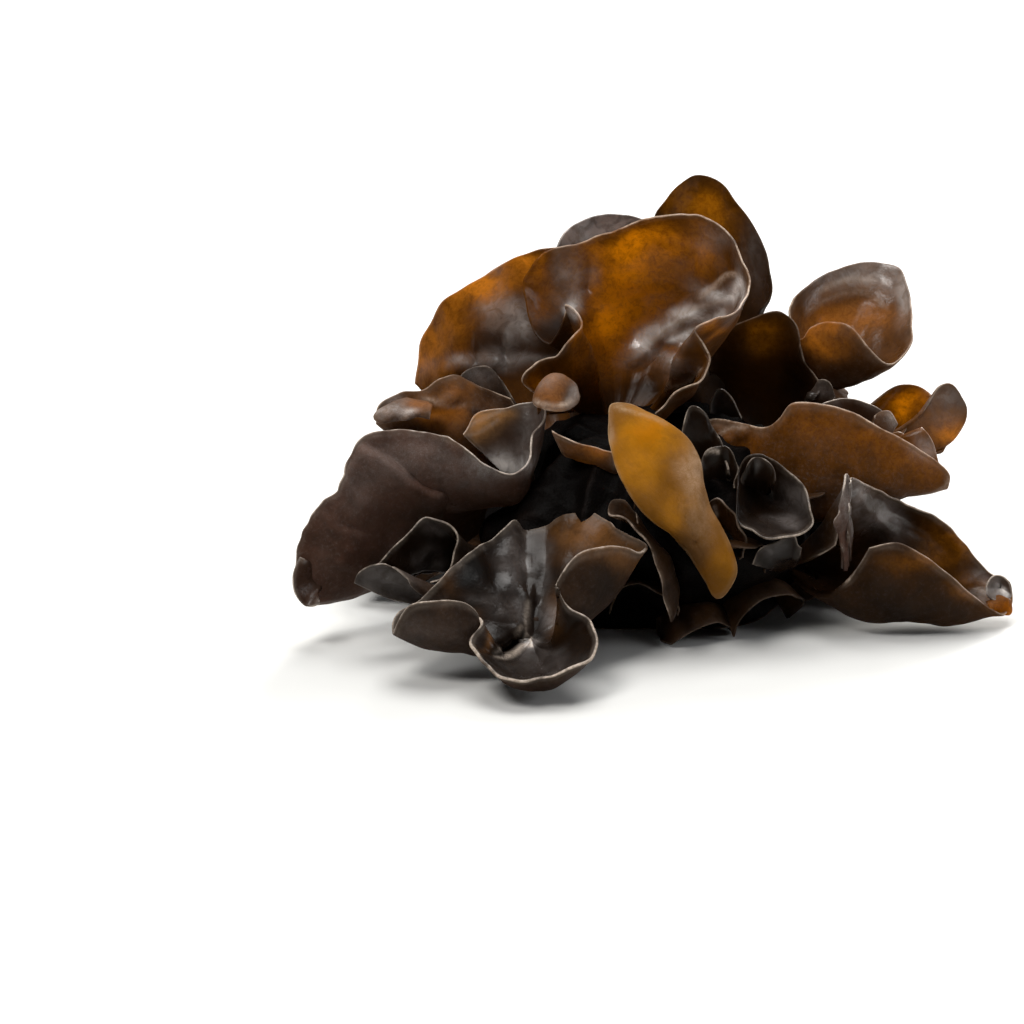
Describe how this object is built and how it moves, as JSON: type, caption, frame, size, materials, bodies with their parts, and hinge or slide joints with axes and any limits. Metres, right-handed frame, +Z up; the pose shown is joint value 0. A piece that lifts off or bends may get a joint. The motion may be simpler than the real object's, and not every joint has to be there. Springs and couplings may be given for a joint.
{
  "type": "wood ear mushroom",
  "caption": "Cluster of thin, wavy, cup-shaped wood ears that grow from one base, cut off flat underneath.",
  "frame": {"origin": "on the flat cut face under the base, 2 mm in front of its centre", "axes": "+Z up out of the cut face, +X to the right as the cluster is seen from the front, +Y to its back"},
  "size_m": [0.1769, 0.1663, 0.0961],
  "materials": {
    "flesh_dark": "smooth, wet and glossy inside, matt and finely downy outside, near black brown",
    "flesh_brown": "matt and finely downy outside, smooth inside, dark red brown",
    "flesh_amber": "thin and slightly see-through, glossy inside, amber where light comes through",
    "flesh_base": "rough and lumpy, with a paler cut face underneath"
  },
  "bodies": {
    "root": {"base": "flesh_base", "ear_front_bowl": "flesh_dark", "ear_big_fold": "flesh_brown", "ear_upper_left": "flesh_amber", "ear_crown": "flesh_amber", "ear_top_right": "flesh_brown", "ear_top_back": "flesh_dark", "ear_dark_middle": "flesh_dark", "ear_right_cup": "flesh_amber", "ear_right_back": "flesh_amber", "ear_right_lobe": "flesh_amber", "ear_long_amber": "flesh_amber", "ear_amber_tongue": "flesh_amber", "ear_dark_cup": "flesh_dark", "ear_lower_right": "flesh_dark", "ear_left_cup": "flesh_dark", "ear_left_lip": "flesh_dark", "ear_left_small": "flesh_amber", "ear_edge_middle": "flesh_dark", "ear_small_upright": "flesh_dark", "bud_middle": "flesh_dark", "bud_amber": "flesh_amber", "ear_shelf": "flesh_amber", "ear_far_1": "flesh_dark", "ear_far_2": "flesh_brown", "ear_far_3": "flesh_amber", "ear_far_4": "flesh_brown", "ear_far_5": "flesh_dark", "ear_far_6": "flesh_amber"}
  },
  "joints": []
}
